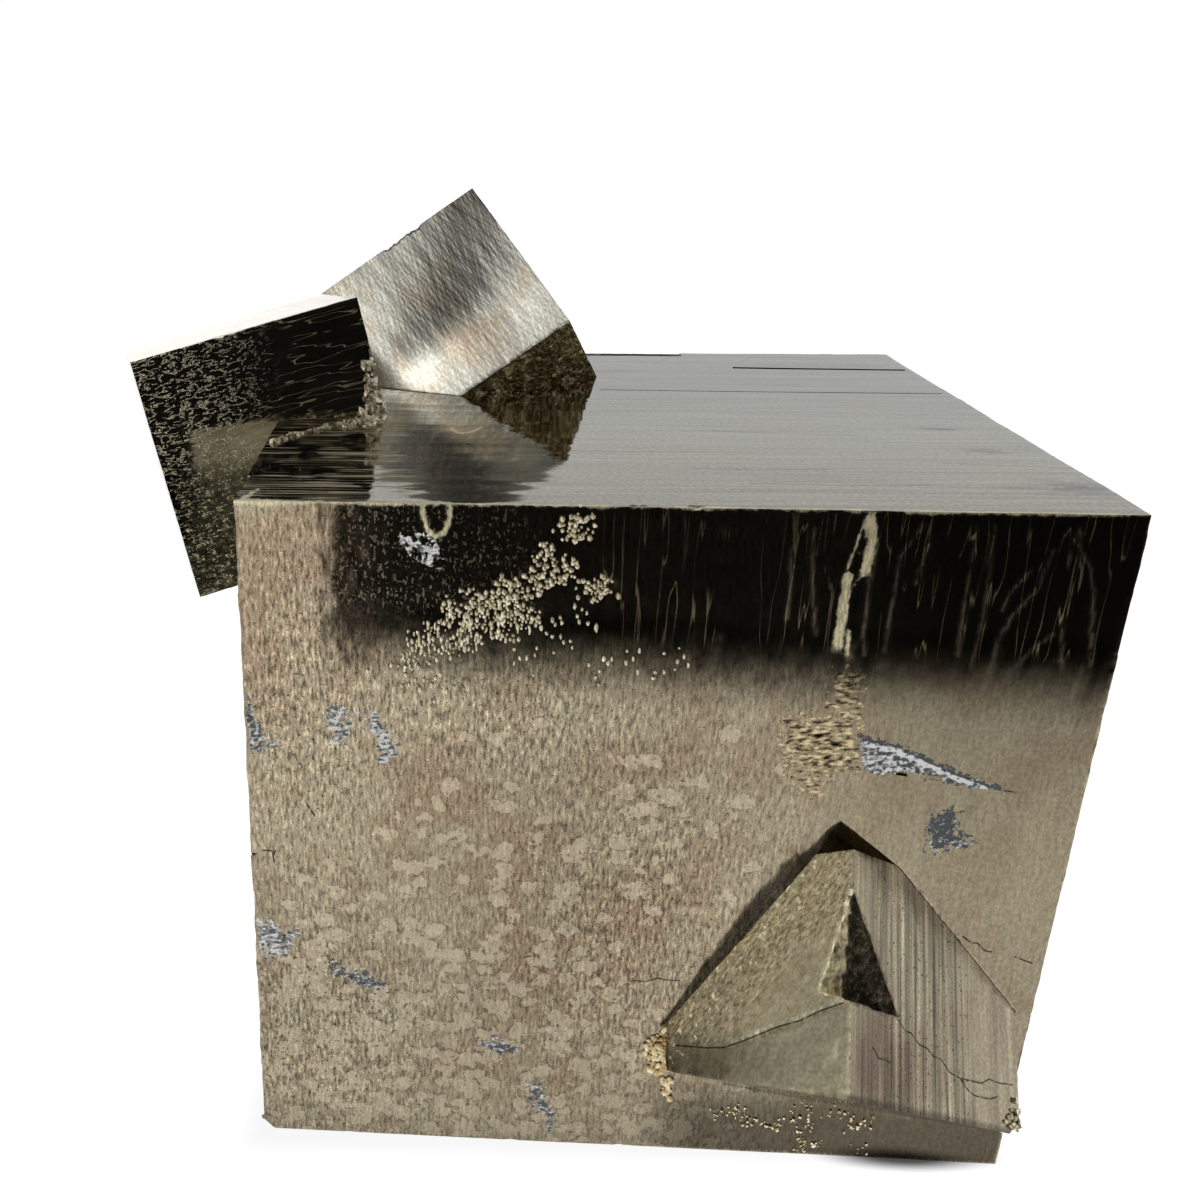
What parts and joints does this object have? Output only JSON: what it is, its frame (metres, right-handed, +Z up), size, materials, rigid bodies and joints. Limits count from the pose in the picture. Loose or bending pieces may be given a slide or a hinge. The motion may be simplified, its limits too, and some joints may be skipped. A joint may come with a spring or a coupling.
{
  "type": "pyrite specimen",
  "caption": "Natural pyrite specimen: a large metallic cube crystal with smaller tilted cubes grown into its faces, standing on its flat base.",
  "frame": {"origin": "centre of the large cube's base, on the surface it stands on", "axes": "+Z up, -Y out of the large cube's front face (the one with the standing-out crystal corner), +X to the right seen from the front"},
  "size_m": [0.0728, 0.0712, 0.0664],
  "materials": {
    "pyrite": "natural crystal faces of pale brassy metallic pyrite: near-mirror and finely striated, with mottled, pitted and granular patches, grey marl remnants and a little yellow limonite"
  },
  "bodies": {
    "root": {"pyrite_crystals": "pyrite"}
  },
  "joints": []
}
